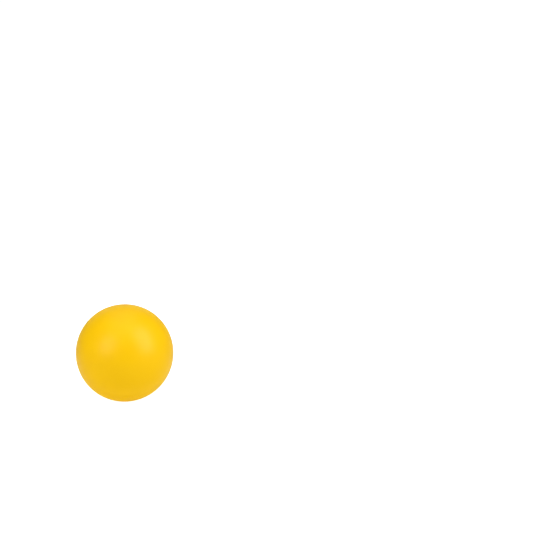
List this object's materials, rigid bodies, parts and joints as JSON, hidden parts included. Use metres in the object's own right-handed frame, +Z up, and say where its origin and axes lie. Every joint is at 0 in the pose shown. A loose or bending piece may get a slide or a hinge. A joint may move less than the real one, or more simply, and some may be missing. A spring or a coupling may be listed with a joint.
{
  "type": "croquet ball",
  "caption": "Small turned wooden croquet ball in a satin yellow lacquer over a white primer, for children's and family lawn croquet.",
  "frame": {"origin": "centre of the ball", "axes": "+Y along the lathe axis and the grain, from the plain front pole to the back pole with the drying pin's hole; +Z up; the front faces -Y"},
  "size_m": [0.06, 0.06, 0.06],
  "materials": {
    "pine": "matte",
    "wood_filler": "matte",
    "white_primer": "matte",
    "yellow_lacquer": "satin"
  },
  "bodies": {
    "root": {"wooden_core": "pine", "front_centre_filler": "wood_filler", "back_centre_filler": "wood_filler", "primer_coat": "white_primer", "lacquer_coat": "yellow_lacquer"}
  },
  "joints": []
}
